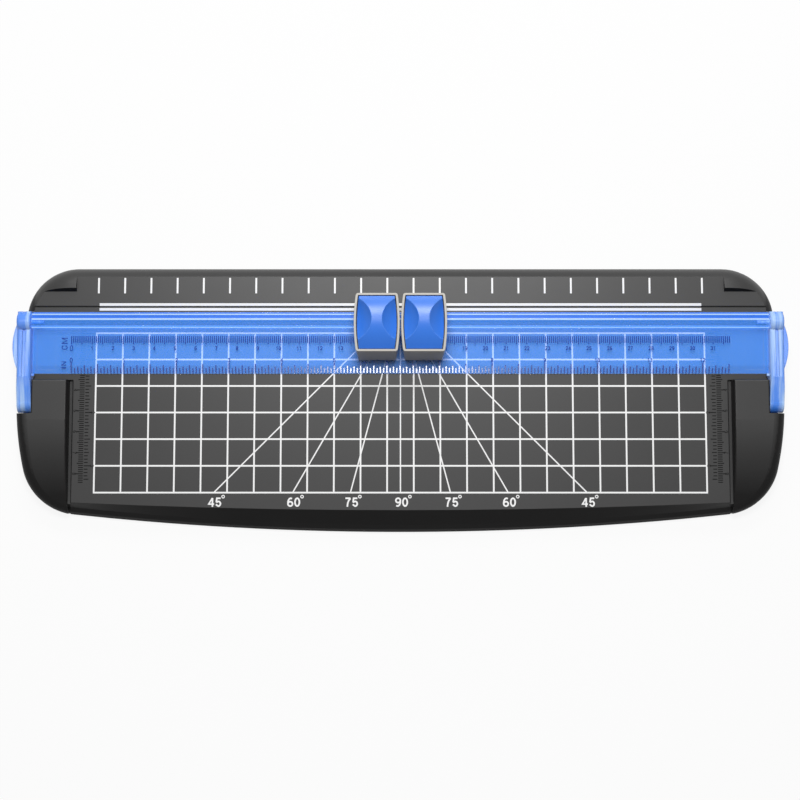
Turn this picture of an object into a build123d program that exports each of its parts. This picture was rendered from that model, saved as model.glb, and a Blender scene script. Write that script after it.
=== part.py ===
from build123d import *
import math
import os

os.makedirs("parts", exist_ok=True)

# Paper trimmer, in millimetres: X along the length, Y to the back, Z up.
# The origin is on the table, under the middle of the tray.

# Plan of the tray: half lengths at the wings, the tail and the waist between the arms
tray_length = 367.6
tray_depth = 127.3
tail_step = 2.4
waist_step = 7.8
side_lean = 8.2
side_bow = 1.5
front_bow = 10.4
back_corner = 25.0
front_corner = 27.2
wing_half = tray_length / 2
tail_half = wing_half - tail_step
waist_half = wing_half - waist_step
back_y = tray_depth / 2
front_y = -tray_depth / 2

# Levels of the tray
foot_drop = 1.2
bed_z = 12.0
wing_rise = 5.0
guide_rise = 2.6
wing_round = 6.0
shoulder_r = 130.0
shoulder_setback = 3.0
wing_edge_round = 0.8
back_round = 12.5
roof = 2.4
wing_z = bed_z + wing_rise
guide_z = bed_z + guide_rise
roof_z = bed_z - roof

# Front of the tray: slope from the bed, then a nose that rolls over to the outline
slope_top_inset = 10.55
slope_top_bow = 3.7
slope_foot_inset = 3.55
slope_foot_drop = 5.6
nose_inset = 1.3
nose_drop = 7.8
nose_end_drop = 10.75
nose_overcut = 0.3
front_overcut = 5.0
slope_foot_z = bed_z - slope_foot_drop
nose_z = bed_z - nose_drop
nose_end_z = bed_z - nose_end_drop
nose_half = wing_half - side_lean

# Cut line, its strip and the blade's groove
cut_inset = 19.55
strip_end_inset = 38.8
strip_width = 3.7
strip_depth = 2.2
strip_gap = 0.1
groove_width = 1.0
groove_depth = 1.4
groove_end_inset = 4.9
cut_y = back_y - cut_inset
strip_half = wing_half - strip_end_inset
groove_half = tail_half - groove_end_inset

# Hinge at the front ends of the arms
hinge_reach = 45.9
hinge_z = 10.0
pin_r = 1.5
pin_running_gap = 0.05
pin_depth = 12.0
pin_sunk = 0.4
hinge_boss_r = 4.0
arm_end_r = 5.0
arm_side_gap = 0.4
arm_end_gap = 0.4
shelf_gap = 0.4
shelf_reach = 9.0
shelf_inset = 1.0
hinge_y = cut_y - hinge_reach
notch_front_y = hinge_y - arm_end_r - arm_end_gap
shoulder_y = notch_front_y - shoulder_setback
pin_inner_x = waist_half - pin_depth

# Raised parts of the tray: wings in front, paper guides at the back corners
wing_width = 25.0
wing_wall_lean = 0.3
channel_width = 1.6
channel_depth = 2.0
channel_edge = 0.4
wing_end_reach = 10.7
guide_width = 27.8
guide_setback = 7.5
guide_face = 1.6
wing_wall_x = wing_half - wing_width
wing_back_y = hinge_y + wing_end_reach
channel_x = wing_wall_x - channel_width
guide_wall_x = wing_half - guide_width
guide_front_y = cut_y + guide_setback

# Ruler rail: plate, T-shaped track along its back, pads at its ends
paper_gap = 0.6
pad_gap = 0.05
plate_thickness = 2.4
ruler_gap = 2.9
rail_setback = 2.8
bevel_width = 3.7
bevel_edge = 1.0
rail_ledge = 1.0
head_width = 7.2
head_height = 2.4
undercut = 1.6
undercut_height = 1.8
lip_width = 0.9
lip_groove_width = 1.3
lip_groove_depth = 1.0
lip_drop = 0.4
head_round = 0.4
pad_length = 9.0
pad_inset = 2.0
plate_z = bed_z + paper_gap
plate_top = plate_z + plate_thickness
rail_half = waist_half + arm_side_gap
rail_back_y = cut_y - rail_setback
rail_front_y = wing_back_y + ruler_gap
head_back_y = rail_back_y - rail_ledge
head_front_y = head_back_y - head_width
head_z = plate_top + undercut_height
head_top = head_z + head_height
lip_front_y = head_back_y - lip_width
lip_groove_y = lip_front_y - lip_groove_width

# Rail arms
arm_width = 6.8
arm_rise = 8.0
arm_back_chamfer = 3.0
arm_back_gap = 0.9
arm_slope = 12.0
arm_round = 1.5
flute_width = 1.4
flute_depth = 0.7
knuckle_r = 4.6
knuckle_drop = 1.0
peg_r = 1.25
peg_length = 6.0
peg_lift = 0.3
tab_reach = 2.5
tab_length = 23.4
tab_setback = 19.0
tab_thickness = 2.8
gusset = 1.2
tail_overlap = 2.0
arm_outer = rail_half + arm_width
arm_low = hinge_z - arm_end_r
shelf_top = arm_low - shelf_gap
shelf_out = arm_outer - shelf_inset
arm_top = hinge_z + arm_rise
arm_top_start = hinge_y + arm_slope
knuckle_y = (head_front_y + head_back_y) / 2
knuckle_z = head_z - knuckle_drop
peg_z = head_z + peg_lift
tab_y = cut_y - tab_setback
notch_back_y = rail_back_y + arm_back_gap
tail_front_y = wing_back_y - tail_overlap

# Carriages
carriage_x = 11.15
carriage_overhang = 4.6
carriage_depth = 27.5
carriage_flare = 3.5
carriage_height = 17.8
bed_clear = 1.2
end_half = 9.8
middle_half = 10.8
end_half_low = 9.0
middle_half_low = 10.0
carriage_corner = 1.2
rim = 1.0
glide_gap = 0.3
web = 1.6
floor_thickness = 1.5
plate_gap = 0.4
plate_back_gap = 0.4
well_half = 8.2
mark_width = 2.4
mark_height = 1.2
carriage_back = cut_y + carriage_overhang
carriage_front = carriage_back - carriage_depth
carriage_front_low = carriage_front - carriage_flare
carriage_low = bed_z + bed_clear
carriage_top = carriage_low + carriage_height
floor_z = head_top + glide_gap + web
floor_top = floor_z + floor_thickness
plate_clear = plate_top + plate_gap
well_front = carriage_front + rim

# Glide shoe and its screws
shoe_gap = 0.2
shoe_front_gap = 0.4
shoe_leg = 1.4
hook_end_gap = 0.1
screw_spread = 10.0
screw_r = 1.0
screw_clear = 0.15
screw_head_r = 1.9
screw_head = 1.2
screw_length = 6.0
drive_width = 0.6
drive_depth = 0.5
shoe_half = well_half - shoe_gap
shoe_front = well_front + shoe_front_gap
shoe_back = head_back_y + glide_gap + shoe_leg
hook_reach = undercut - hook_end_gap
hook_thickness = undercut_height - 2 * glide_gap
screw_y = (shoe_front + head_front_y) / 2
screw_end_z = floor_top - screw_length

# Press button
press_travel = 3.0
press_stop_gap = 0.2
button_gap = 0.4
button_wall = 1.5
button_skin = 1.2
crown_setback = 6.9
crown_height = 7.0
crown_back_height = 4.8
crown_front_height = 1.8
scoop_r = 19.1
scoop_out = 7.45
scoop_setback = 8.1
scoop_rise = 12.5
cup_r = 3.8
cup_depth = 3.2
button_low = floor_top + press_travel + press_stop_gap
crown_y = cut_y - crown_setback
crown_z = button_low + crown_height
crown_back_z = button_low + crown_back_height
crown_front_z = button_low + crown_front_height
scoop_y = cut_y - scoop_setback
button_ceiling = button_low + button_skin
cup_z = button_low + cup_depth

# Return spring
spring_setback = 8.5
spring_r = 2.9
wire_r = 0.3
spring_turns = 4
spring_seat_gap = 0.02
spring_y = cut_y - spring_setback
spring_low = floor_top + wire_r + spring_seat_gap
spring_height = cup_z - wire_r - spring_seat_gap - spring_low

# Blade holder, blade and blade screw
holder_gap = 0.4
holder_back_half = 1.6
holder_height = 3.3
neck_half = 3.8
neck_gap = 0.4
holder_half = 5.2
holder_stop_gap = 0.3
post_r = 1.1
post_length = 2.2
post_spread = 4.6
blade_half = 3.0
blade_thickness = 0.4
blade_height = 9.5
blade_point = 3.5
blade_lift = 2.0
blade_seat_gap = 0.1
blade_screw_drop = 2.9
blade_screw_r = 0.8
blade_screw_depth = 1.0
blade_head_r = 1.5
blade_head = 1.0
holder_front = shoe_back + holder_gap
holder_back = cut_y + holder_back_half
holder_stop = floor_z - holder_stop_gap
holder_low = holder_stop - holder_height
blade_tip = bed_z + blade_lift
blade_shoulder = blade_tip + blade_point
blade_top = blade_tip + blade_height
blade_screw_z = blade_top - blade_screw_drop
blade_seat_y = cut_y - blade_thickness / 2
blade_back_y = cut_y + blade_thickness / 2

# Feet
foot_r = 5.0
foot_sunk = 1.0
foot_gap = 0.1
foot_end_inset = 37.8
foot_edge_inset = 23.4
foot_shift = 2.0
foot_boss_r = 6.5
foot_round = 0.5
foot_pitch_x = wing_half - foot_end_inset
foot_pitch_y = tray_depth - 2 * foot_edge_inset

# Cells under the tray
rib = 2.0
wall = 3.0
back_wall = 5.0
cell_columns = 6
cell_front_inset = 15.4
bar_half = 3.2
wing_cell_inset = 21.0
back_cell_end_inset = 33.8
cell_end_x = wing_wall_x - wall
cell_front = front_y + cell_front_inset
cell_back = cut_y - bar_half
cell_width = (2 * cell_end_x - (cell_columns - 1) * rib) / cell_columns
cell_depth = (cell_back - cell_front - rib) / 2
cell_middle_y = (cell_front + cell_back) / 2
wing_cell_in = wing_wall_x + wall
wing_cell_out = waist_half - wall
wing_cell_front = front_y + wing_cell_inset
wing_cell_back = notch_back_y - wall
wing_cell_top = wing_z - roof
back_cell_front = cut_y + bar_half
back_cell_back = back_y - back_wall
back_cell_half = wing_half - back_cell_end_inset


def side_plane(x):
    """Plane across the length at x: its first axis is Y, its second is Z."""
    return Plane(origin=(x, 0, 0), x_dir=(0, 1, 0), z_dir=(1, 0, 0))


def level(x, z):
    """Plane flat at height z, with its origin at x."""
    return Plane(origin=(x, 0, z))


def bowed_face(half, y_middle, bow, y_far):
    """Face in front of an edge that bows forward by bow in the middle."""
    with BuildSketch() as face:
        with BuildLine():
            ThreePointArc((-half, y_middle + bow), (0, y_middle), (half, y_middle + bow))
            Polyline((half, y_middle + bow), (half, y_far), (-half, y_far), (-half, y_middle + bow))
        make_face()
    return face.sketch


# Base tray: front and tail outlines, each carried up to a level with its outer top edge rounded
def front_plan():
    """Outline of the tray's front: wings at both sides, narrower behind the notches' front walls."""
    corner_y = front_y + front_bow
    side_middle = (wing_half + nose_half) / 2 + side_bow
    side_middle_y = (corner_y + notch_front_y) / 2
    with BuildSketch() as plan:
        with BuildLine():
            ThreePointArc((-nose_half, corner_y), (-side_middle, side_middle_y), (-wing_half, notch_front_y))
            Polyline(
                (-wing_half, notch_front_y),
                (-waist_half, notch_front_y),
                (-waist_half, wing_back_y),
                (waist_half, wing_back_y),
                (waist_half, notch_front_y),
                (wing_half, notch_front_y),
            )
            ThreePointArc((wing_half, notch_front_y), (side_middle, side_middle_y), (nose_half, corner_y))
            ThreePointArc((nose_half, corner_y), (0, front_y), (-nose_half, corner_y))
        make_face()
        fillet(vertices().group_by(Axis.Y)[0], radius=front_corner)
    return plan.sketch


def tail_plan():
    """Outline of the tray's tail, with round back corners."""
    with BuildSketch() as plan:
        with Locations((0, back_y)):
            Rectangle(2 * tail_half, back_y - tail_front_y, align=(Align.CENTER, Align.MAX))
        fillet(vertices().group_by(Axis.Y)[-1], radius=back_corner)
    return plan.sketch


def rounded_block(plan, top, radius, low_y, high_y):
    """A plan carried up to a level, its top edge rounded between two values of Y."""
    with BuildPart() as block:
        with BuildSketch(Plane.XY.offset(foot_drop)):
            add(plan)
        extrude(amount=top - foot_drop)
        edge = edges().group_by(Axis.Z)[-1].filter_by_position(Axis.Y, low_y, high_y)
        fillet(edge, radius=radius)
    return block.part


with BuildPart() as wings:
    with BuildSketch(Plane.XY.offset(foot_drop)):
        add(front_plan())
    extrude(amount=wing_z - foot_drop)
    shoulder_reach = shoulder_y - front_y
    shoulder_drop = shoulder_r - math.sqrt(shoulder_r**2 - shoulder_reach**2)
    half_drop = shoulder_r - math.sqrt(shoulder_r**2 - (shoulder_reach / 2) ** 2)
    with BuildSketch(side_plane(0)):
        with BuildLine():
            Polyline(
                (front_y, wing_z - shoulder_drop),
                (front_y, 0),
                (wing_back_y, 0),
                (wing_back_y, wing_z),
                (shoulder_y, wing_z),
            )
            ThreePointArc(
                (shoulder_y, wing_z),
                (shoulder_y - shoulder_reach / 2, wing_z - half_drop),
                (front_y, wing_z - shoulder_drop),
            )
        make_face()
    extrude(amount=wing_half, both=True, mode=Mode.INTERSECT)
    outer_edges = edges().filter_by_position(Axis.Z, nose_z, wing_z).filter_by_position(
        Axis.Y, front_y, notch_front_y - arm_end_gap
    )
    fillet(outer_edges, radius=wing_round)
    with BuildSketch(Plane.XZ.offset(-wing_back_y)):
        for side in (-1, 1):
            with BuildLine():
                Polyline(
                    (side * wing_wall_x, foot_drop),
                    (side * wing_wall_x, bed_z),
                    (side * (wing_wall_x + wing_wall_lean), wing_z),
                    (side * wing_half, wing_z),
                    (side * wing_half, foot_drop),
                    close=True,
                )
            make_face()
    extrude(amount=wing_back_y - front_y, mode=Mode.INTERSECT)
    inner_edges = edges().group_by(Axis.Z)[-1].filter_by(Axis.Y)
    back_edges = edges().group_by(Axis.Z)[-1].filter_by(Axis.X).group_by(Axis.Y)[-1]
    fillet(inner_edges + back_edges, radius=wing_edge_round)

with BuildPart() as base_tray:
    add(rounded_block(tail_plan(), guide_z, back_round, tail_front_y + 1, back_y + 1))
    # Bed cut into the rounded tail, which leaves a paper guide at each back corner
    with BuildSketch(Plane.XY.offset(bed_z)):
        with Locations((0, tail_front_y)):
            Rectangle(2 * guide_wall_x, tray_depth, align=(Align.CENTER, Align.MIN))
    extrude(amount=guide_rise, mode=Mode.SUBTRACT)
    with BuildSketch(side_plane(0)):
        with BuildLine():
            Polyline(
                (tail_front_y, bed_z),
                (guide_front_y, bed_z),
                (guide_front_y + guide_face, guide_z),
                (tail_front_y, guide_z),
                close=True,
            )
        make_face()
    extrude(amount=tail_half, both=True, mode=Mode.SUBTRACT)
    with BuildSketch(Plane.XY.offset(foot_drop)):
        with Locations((0, notch_back_y)):
            Rectangle(2 * tail_half, notch_back_y - tail_front_y, align=(Align.CENTER, Align.MAX))
            Rectangle(
                2 * waist_half, notch_back_y - tail_front_y, align=(Align.CENTER, Align.MAX), mode=Mode.SUBTRACT
            )
    extrude(amount=bed_z - foot_drop, mode=Mode.SUBTRACT)
    with BuildSketch(Plane.XY.offset(foot_drop)):
        add(front_plan())
        with Locations((0, front_y)):
            Rectangle(
                2 * wing_wall_x, wing_back_y - front_y, align=(Align.CENTER, Align.MIN), mode=Mode.INTERSECT
            )
    extrude(amount=bed_z - foot_drop)
    with BuildSketch(Plane.XY.offset(foot_drop)):
        with Locations((0, notch_front_y)):
            Rectangle(2 * shelf_out, arm_end_r + shelf_reach, align=(Align.CENTER, Align.MIN))
    extrude(amount=shelf_top - foot_drop)
    add(wings.part)
    # Front slope, then the nose in two steps
    nose_bow = front_bow * (wing_wall_x / nose_half) ** 2
    steps = (
        (bed_z, slope_top_inset, slope_top_bow),
        (slope_foot_z, slope_foot_inset, nose_bow),
        (nose_z, nose_inset, nose_bow),
        (nose_end_z, -nose_overcut, nose_bow),
    )
    for upper, lower in zip(steps, steps[1:]):
        for z, inset, bow in (lower, upper):
            with BuildSketch(Plane.XY.offset(z)):
                add(bowed_face(wing_wall_x, front_y + inset, bow, front_y - front_overcut))
        loft(ruled=True, mode=Mode.SUBTRACT)
    # Channel along each wing's inner wall
    with BuildSketch(Plane.XZ.offset(-wing_back_y)):
        for side in (-1, 1):
            with BuildLine():
                Polyline(
                    (side * (channel_x - channel_edge), bed_z),
                    (side * channel_x, bed_z - channel_edge),
                    (side * channel_x, bed_z - channel_depth),
                    (side * wing_wall_x, bed_z - channel_depth),
                    (side * wing_wall_x, bed_z),
                    close=True,
                )
            make_face()
    extrude(amount=wing_back_y - front_y, mode=Mode.SUBTRACT)
    # Groove along the cut line and the slot for the strip
    with BuildSketch(Plane.XY.offset(bed_z)):
        with Locations((0, cut_y)):
            Rectangle(2 * groove_half, groove_width)
    extrude(amount=-groove_depth, mode=Mode.SUBTRACT)
    with BuildSketch(Plane.XY.offset(bed_z)):
        with Locations((0, cut_y)):
            Rectangle(2 * (strip_half + strip_gap), strip_width + 2 * strip_gap)
    extrude(amount=-strip_depth, mode=Mode.SUBTRACT)
    # Cells underneath, with ribs left between them
    with BuildSketch(Plane.XY.offset(foot_drop)):
        with Locations((0, cell_middle_y)):
            with GridLocations(cell_width + rib, cell_depth + rib, cell_columns, 2):
                Rectangle(cell_width, cell_depth)
        with Locations((0, back_cell_front)):
            Rectangle(2 * back_cell_half, back_cell_back - back_cell_front, align=(Align.CENTER, Align.MIN))
        for side in (-1, 1):
            with Locations((side * (wing_cell_in + wing_cell_out) / 2, wing_cell_front)):
                Rectangle(
                    wing_cell_out - wing_cell_in,
                    wing_cell_back - wing_cell_front,
                    align=(Align.CENTER, Align.MIN),
                )
    extrude(amount=roof_z - foot_drop, mode=Mode.SUBTRACT)
    with BuildSketch(Plane.XY.offset(roof_z)):
        for side in (-1, 1):
            with Locations((side * (wing_cell_in + wing_cell_out) / 2, shoulder_y)):
                Rectangle(
                    wing_cell_out - wing_cell_in,
                    wing_back_y - roof - shoulder_y,
                    align=(Align.CENTER, Align.MIN),
                )
    extrude(amount=wing_cell_top - roof_z, mode=Mode.SUBTRACT)
    # Bosses for the feet and the hinge pins
    with BuildSketch(Plane.XY.offset(foot_drop)):
        with Locations((0, foot_shift)):
            with GridLocations(foot_pitch_x, foot_pitch_y, 3, 2):
                Circle(foot_boss_r)
    extrude(amount=roof_z - foot_drop)
    with BuildSketch(Plane.XY.offset(foot_drop)):
        with Locations((0, foot_shift)):
            with GridLocations(foot_pitch_x, foot_pitch_y, 3, 2):
                Circle(foot_r + foot_gap)
    extrude(amount=foot_sunk, mode=Mode.SUBTRACT)
    for side in (-1, 1):
        with BuildSketch(side_plane(side * wing_cell_in)):
            with Locations((hinge_y, hinge_z)):
                Circle(hinge_boss_r)
        extrude(amount=side * (waist_half - wing_cell_in))
        with BuildSketch(side_plane(side * pin_inner_x)):
            with Locations((hinge_y, hinge_z)):
                Circle(pin_r)
        extrude(amount=side * (waist_half - pin_inner_x), mode=Mode.SUBTRACT)
base_tray.part.label = "base_tray"
export_step(base_tray.part, "parts/base_tray.step")


# Cutting strip, with the blade's groove in its middle
with BuildPart() as cutting_strip:
    with BuildSketch(Plane.XY.offset(bed_z)):
        with Locations((0, cut_y)):
            Rectangle(2 * strip_half, strip_width)
    extrude(amount=-strip_depth)
    with BuildSketch(Plane.XY.offset(bed_z)):
        with Locations((0, cut_y)):
            Rectangle(2 * strip_half, groove_width)
    extrude(amount=-groove_depth, mode=Mode.SUBTRACT)
cutting_strip.part.label = "cutting_strip"
export_step(cutting_strip.part, "parts/cutting_strip.step")


# Rubber feet
with BuildPart() as rubber_feet:
    with BuildSketch(Plane.XY):
        with Locations((0, foot_shift)):
            with GridLocations(foot_pitch_x, foot_pitch_y, 3, 2):
                Circle(foot_r)
    extrude(amount=foot_drop + foot_sunk)
    fillet(edges().group_by(Axis.Z)[0], radius=foot_round)
rubber_feet.part.label = "rubber_feet"
export_step(rubber_feet.part, "parts/rubber_feet.step")


# Hinge pins, pressed into the tray
with BuildPart() as hinge_pins:
    for side in (-1, 1):
        with BuildSketch(side_plane(side * pin_inner_x)):
            with Locations((hinge_y, hinge_z)):
                Circle(pin_r)
        extrude(amount=side * (arm_outer - pin_sunk - pin_inner_x))
hinge_pins.part.label = "hinge_pins"
export_step(hinge_pins.part, "parts/hinge_pins.step")


# Ruler rail: plate with a bevelled front edge and a T-shaped track
with BuildPart() as ruler_rail:
    with BuildSketch(side_plane(-rail_half)):
        with BuildLine():
            Polyline(
                (rail_front_y, plate_z),
                (rail_front_y, plate_z + bevel_edge),
                (rail_front_y + bevel_width, plate_top),
                (head_front_y + undercut, plate_top),
                (head_front_y + undercut, head_z),
                (head_front_y, head_z),
                (head_front_y, head_top),
                (lip_groove_y, head_top),
                (lip_groove_y, head_top - lip_groove_depth),
                (lip_front_y, head_top - lip_groove_depth),
                (lip_front_y, head_top - lip_drop),
                (head_back_y, head_top - lip_drop),
                (head_back_y, head_z),
                (head_back_y - undercut, head_z),
                (head_back_y - undercut, plate_top),
                (rail_back_y, plate_top),
                (rail_back_y, plate_z),
                close=True,
            )
        make_face()
    extrude(amount=2 * rail_half)
    top_edges = edges().filter_by(Axis.X).filter_by_position(Axis.Z, head_top - lip_drop - 0.01, head_top)
    fillet(top_edges, radius=head_round)
    for side in (-1, 1):
        with BuildSketch(level(side * (rail_half - pad_inset - pad_length / 2), plate_z)):
            with Locations((0, (rail_front_y + rail_back_y) / 2)):
                Rectangle(pad_length, rail_back_y - rail_front_y - 2 * pad_inset)
        extrude(amount=pad_gap - paper_gap)
        with BuildSketch(side_plane(side * rail_half)):
            with Locations((knuckle_y, peg_z)):
                Circle(peg_r)
        extrude(amount=-side * peg_length, mode=Mode.SUBTRACT)
ruler_rail.part.label = "ruler_rail"
export_step(ruler_rail.part, "parts/ruler_rail.step")


# Rail arms, one at each end of the rail
def knuckle(side):
    """Round boss over the track's end."""
    with BuildPart() as boss:
        with BuildSketch(side_plane(side * rail_half)):
            with Locations((knuckle_y, knuckle_z)):
                Circle(knuckle_r)
        extrude(amount=side * arm_width)
        fillet(edges().filter_by(GeomType.CIRCLE), radius=arm_round)
    return boss.part


def rail_arm(side):
    """Arm with the hinge eye, the knuckle at the track's end and the finger tab."""
    with BuildPart() as arm:
        with BuildSketch(side_plane(side * rail_half)):
            with BuildLine():
                Polyline(
                    (hinge_y, arm_low),
                    (rail_back_y - arm_back_chamfer, arm_low),
                    (rail_back_y, arm_low + arm_back_chamfer),
                    (rail_back_y, arm_top),
                    (arm_top_start, arm_top),
                    (hinge_y, hinge_z + arm_end_r),
                )
                ThreePointArc(
                    (hinge_y, hinge_z + arm_end_r), (hinge_y - arm_end_r, hinge_z), (hinge_y, hinge_z - arm_end_r)
                )
            make_face()
        extrude(amount=side * arm_width)
        top_edge = edges().group_by(Axis.Z)[-1].filter_by(Axis.Y)
        fillet(top_edge, radius=arm_round)
        with BuildSketch(level(side * (rail_half + arm_width / 2), arm_top)):
            with Locations((0, (arm_top_start + rail_back_y) / 2)):
                Rectangle(flute_width, rail_back_y - arm_top_start)
        extrude(amount=-flute_depth, mode=Mode.SUBTRACT)
        add(knuckle(side))
        with BuildSketch(Plane.XY.offset(plate_z)):
            with BuildLine():
                ThreePointArc(
                    (side * arm_outer, tab_y - tab_length / 2),
                    (side * (arm_outer + tab_reach), tab_y),
                    (side * arm_outer, tab_y + tab_length / 2),
                )
                Polyline(
                    (side * arm_outer, tab_y + tab_length / 2),
                    (side * (arm_outer - arm_round), tab_y + tab_length / 2),
                    (side * (arm_outer - arm_round), tab_y - tab_length / 2),
                    (side * arm_outer, tab_y - tab_length / 2),
                )
            make_face()
        extrude(amount=tab_thickness)
        with BuildSketch(level(side * (rail_half - gusset / 2), plate_top)):
            with Locations((0, rail_front_y - gusset / 2)):
                Rectangle(gusset, gusset)
        extrude(amount=-gusset)
        with BuildSketch(side_plane(side * rail_half)):
            with Locations((knuckle_y, peg_z)):
                Circle(peg_r)
        extrude(amount=-side * peg_length)
        with BuildSketch(side_plane(side * rail_half)):
            with Locations((hinge_y, hinge_z)):
                Circle(pin_r + pin_running_gap)
        extrude(amount=side * arm_width, mode=Mode.SUBTRACT)
    return arm.part


# Carriage pieces, each built round the carriage's own middle
def barrel(half_end, half_middle, y_front, y_back):
    """Plan with straight ends and sides that bulge in the middle."""
    y_middle = (y_front + y_back) / 2
    with BuildSketch() as plan:
        with BuildLine():
            Line((-half_end, y_front), (half_end, y_front))
            ThreePointArc((half_end, y_front), (half_middle, y_middle), (half_end, y_back))
            Line((half_end, y_back), (-half_end, y_back))
            ThreePointArc((-half_end, y_back), (-half_middle, y_middle), (-half_end, y_front))
        make_face()
    return plan.sketch


def slab(x, half, y_low, y_high, z_low, z_high):
    """Box centred on x, between two values of Y and two heights."""
    with BuildPart() as box:
        with BuildSketch(level(x, z_low)):
            with Locations((0, (y_low + y_high) / 2)):
                Rectangle(2 * half, y_high - y_low)
        extrude(amount=z_high - z_low)
    return box.part


def carriage_housing(x):
    """Open box on the rail: rim, floor, tunnel for the track and well for the blade."""
    with BuildPart() as housing:
        with BuildSketch(level(x, carriage_low)):
            add(barrel(end_half_low, middle_half_low, carriage_front_low, carriage_back))
        with BuildSketch(level(x, carriage_top)):
            add(barrel(end_half, middle_half, carriage_front, carriage_back))
        loft(ruled=True)
        fillet(edges().filter_by_position(Axis.Z, carriage_low + 1, carriage_top - 1), radius=carriage_corner)
        with BuildSketch(level(x, floor_top)):
            add(barrel(end_half - rim, middle_half - rim, carriage_front + rim, carriage_back - rim))
        extrude(amount=carriage_top - floor_top, mode=Mode.SUBTRACT)
        well = slab(x, well_half, well_front, carriage_back - rim, carriage_low, floor_z)
        over_plate = slab(x, middle_half, carriage_front_low, rail_back_y + plate_back_gap, carriage_low, plate_clear)
        tunnel = slab(
            x, middle_half, head_front_y - glide_gap, head_back_y + glide_gap, carriage_low, head_top + glide_gap
        )
        neck_slot = slab(
            x, neck_half + neck_gap, holder_front - glide_gap, holder_back + glide_gap, floor_z, floor_top
        )
        for space in (well, over_plate, tunnel, neck_slot):
            add(space, mode=Mode.SUBTRACT)
        with BuildSketch(level(x, floor_z)):
            with Locations((-screw_spread / 2, screw_y), (screw_spread / 2, screw_y)):
                Circle(screw_r + screw_clear)
        extrude(amount=floor_thickness, mode=Mode.SUBTRACT)
        with BuildSketch(Plane.XZ.offset(-carriage_front_low)):
            with BuildLine():
                Polyline(
                    (x - mark_width / 2, plate_clear),
                    (x, plate_clear + mark_height),
                    (x + mark_width / 2, plate_clear),
                    close=True,
                )
            make_face()
        extrude(amount=-(well_front - carriage_front_low), mode=Mode.SUBTRACT)
    return housing.part


def glide_shoe(x):
    """Shoe that hooks under both sides of the track's head."""
    low = plate_top + glide_gap
    front_hook = head_front_y - glide_gap
    back_hook = head_back_y + glide_gap
    with BuildPart() as shoe:
        with BuildSketch(side_plane(x - shoe_half)):
            with BuildLine():
                Polyline(
                    (shoe_front, low),
                    (head_front_y + hook_reach, low),
                    (head_front_y + hook_reach, low + hook_thickness),
                    (front_hook, low + hook_thickness),
                    (front_hook, head_top + glide_gap),
                    (back_hook, head_top + glide_gap),
                    (back_hook, low + hook_thickness),
                    (head_back_y - hook_reach, low + hook_thickness),
                    (head_back_y - hook_reach, low),
                    (shoe_back, low),
                    (shoe_back, floor_z),
                    (shoe_front, floor_z),
                    close=True,
                )
            make_face()
        extrude(amount=2 * shoe_half)
        with BuildSketch(level(x, screw_end_z)):
            with Locations((-screw_spread / 2, screw_y), (screw_spread / 2, screw_y)):
                Circle(screw_r)
        extrude(amount=floor_z - screw_end_z, mode=Mode.SUBTRACT)
    return shoe.part


def shoe_screws(x):
    """Two screws through the housing's floor into the shoe."""
    places = ((-screw_spread / 2, screw_y), (screw_spread / 2, screw_y))
    with BuildPart() as screws:
        with BuildSketch(level(x, screw_end_z)):
            with Locations(*places):
                Circle(screw_r)
        extrude(amount=floor_top - screw_end_z)
        with BuildSketch(level(x, floor_top)):
            with Locations(*places):
                Circle(screw_head_r)
        extrude(amount=screw_head)
        with BuildSketch(level(x, floor_top + screw_head)):
            with Locations(*places):
                Rectangle(2 * screw_head_r - drive_width, drive_width)
                Rectangle(drive_width, 2 * screw_head_r - drive_width)
        extrude(amount=-drive_depth, mode=Mode.SUBTRACT)
    return screws.part


def press_button(x):
    """Crowned cap with a scoop at each side, hollow underneath, with a cup for the spring."""
    inset = rim + button_gap
    y_front = carriage_front + inset
    y_back = carriage_back - inset
    with BuildPart() as button:
        with BuildSketch(level(x, button_low)):
            add(barrel(end_half - inset, middle_half - inset, y_front, y_back))
        extrude(amount=crown_z - button_low + 1)
        with BuildSketch(side_plane(x)):
            with BuildLine():
                ThreePointArc((y_front - 1, crown_front_z), (crown_y, crown_z), (y_back + 1, crown_back_z))
                Polyline(
                    (y_back + 1, crown_back_z),
                    (y_back + 1, button_low),
                    (y_front - 1, button_low),
                    (y_front - 1, crown_front_z),
                )
            make_face()
        extrude(amount=middle_half, both=True, mode=Mode.INTERSECT)
        for side in (-1, 1):
            with Locations((x + side * (middle_half - inset + scoop_out), scoop_y, crown_z + scoop_rise)):
                Sphere(scoop_r, mode=Mode.SUBTRACT)
        with BuildSketch(level(x, button_low)):
            add(barrel(
                end_half - inset - button_wall,
                middle_half - inset - button_wall,
                y_front + button_wall,
                holder_front - button_wall,
            ))
        extrude(amount=button_ceiling - button_low, mode=Mode.SUBTRACT)
        with BuildSketch(level(x, button_low)):
            with Locations((0, spring_y)):
                Circle(cup_r)
        extrude(amount=cup_z - button_low, mode=Mode.SUBTRACT)
        with BuildSketch(level(x, button_low)):
            with Locations((-post_spread / 2, cut_y), (post_spread / 2, cut_y)):
                Circle(post_r)
        extrude(amount=post_length, mode=Mode.SUBTRACT)
    return button.part


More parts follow.
